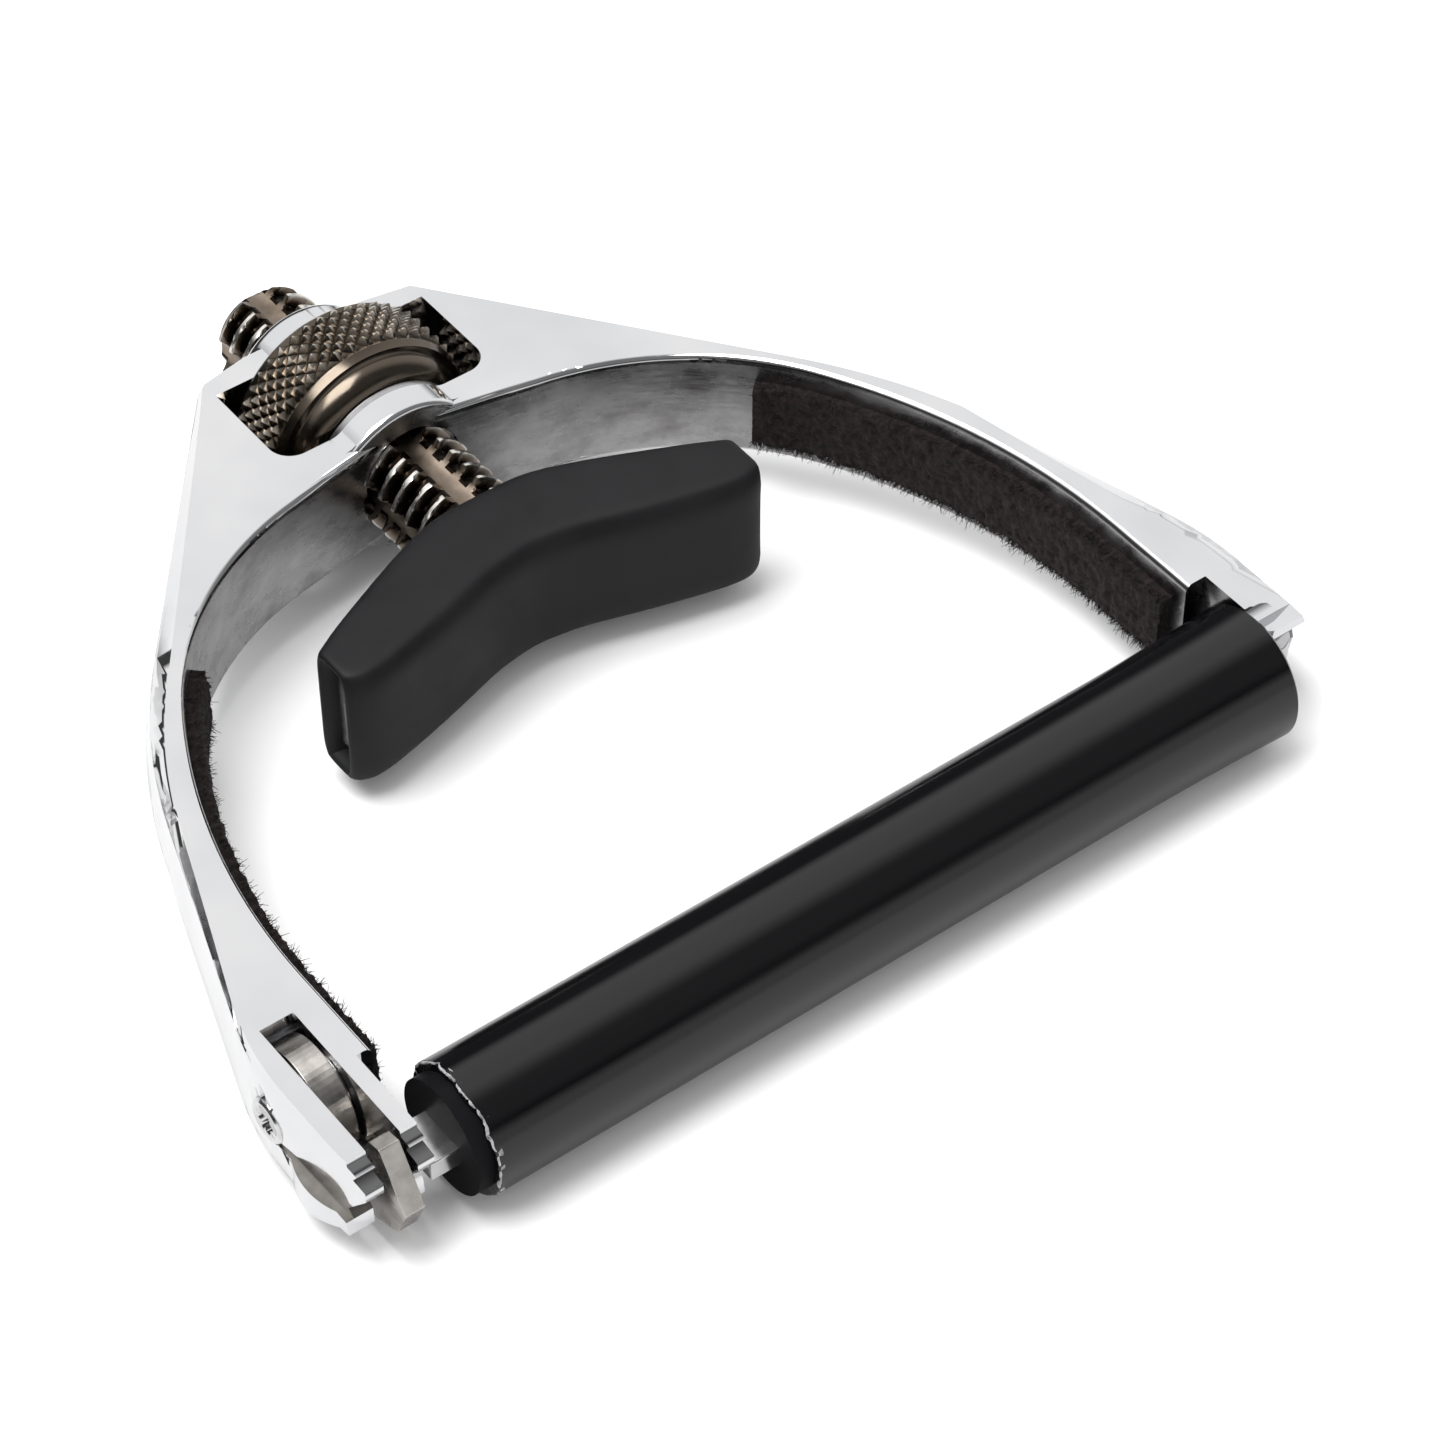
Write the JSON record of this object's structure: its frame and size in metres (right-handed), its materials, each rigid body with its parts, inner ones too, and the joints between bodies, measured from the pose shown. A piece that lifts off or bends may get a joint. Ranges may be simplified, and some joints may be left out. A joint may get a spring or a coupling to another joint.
{
  "type": "guitar capo",
  "caption": "Yoke-frame guitar capo: a hinged, sleeved string bar latches across the fork and a knurled thumbwheel screws a padded saddle against the neck.",
  "frame": {"origin": "middle of the string bar's axis, half way between the yoke's arms and half way through its thickness", "axes": "+X along the string bar from the latch to the hinge, +Y from the bar towards the thumbwheel, +Z through the frame's thickness, away from the face it lies on"},
  "size_m": [0.081, 0.0753, 0.0172],
  "materials": {
    "polished_steel": "mirror polished",
    "bright_steel": "bright",
    "hardened_steel": "plain",
    "nickel_steel": "warm nickel",
    "black_nickel": "black nickel, diamond knurled",
    "latch_steel": "satin",
    "suede": "napped suede",
    "bearing_plastic": "matte",
    "matte_rubber": "matte",
    "gloss_sleeve": "glossy"
  },
  "bodies": {
    "yoke": {"yoke_head": "polished_steel", "yoke_arm_left": "polished_steel", "yoke_arm_right": "polished_steel", "liner_left": "suede", "liner_right": "suede", "thrust_washer_front": "bearing_plastic", "thrust_washer_rear": "bearing_plastic", "guide_keys": "hardened_steel", "hinge_pin": "hardened_steel", "latch_screw": "bright_steel", "latch_shims": "hardened_steel"},
    "wheel": {"thumbwheel": "black_nickel"},
    "saddle_slide": {"adjusting_screw": "nickel_steel", "saddle": "bright_steel", "saddle_boot": "matte_rubber", "saddle_screw": "hardened_steel"},
    "string_bar": {"bar_core": "bright_steel", "bar_tube": "matte_rubber", "bar_sleeve": "gloss_sleeve"},
    "latch": {"latch_lever": "latch_steel"}
  },
  "joints": [
    {"name": "screw_slide", "type": "slide", "parent": "yoke", "child": "saddle_slide", "axis": [0, -1, 0], "range_m": [-0.0048, 0.008]},
    {"name": "wheel_turn", "type": "hinge", "parent": "yoke", "child": "wheel", "pos_m": [0, 0.0568, 0], "axis": [0, 1, 0], "range_deg": [-1090, 1810]},
    {"name": "bar_swing", "type": "hinge", "parent": "yoke", "child": "string_bar", "pos_m": [0.0369, 0.0015, 0], "axis": [0, 0, 1], "range_deg": [0, 75]},
    {"name": "latch_turn", "type": "hinge", "parent": "yoke", "child": "latch", "pos_m": [-0.03675, 0.0074, 0.0002], "axis": [1, 0, 0], "range_deg": [0, 75]}
  ],
  "couplings": [
    {"joint": "wheel_turn", "follows": "screw_slide", "rad_per_m": 3927}
  ]
}
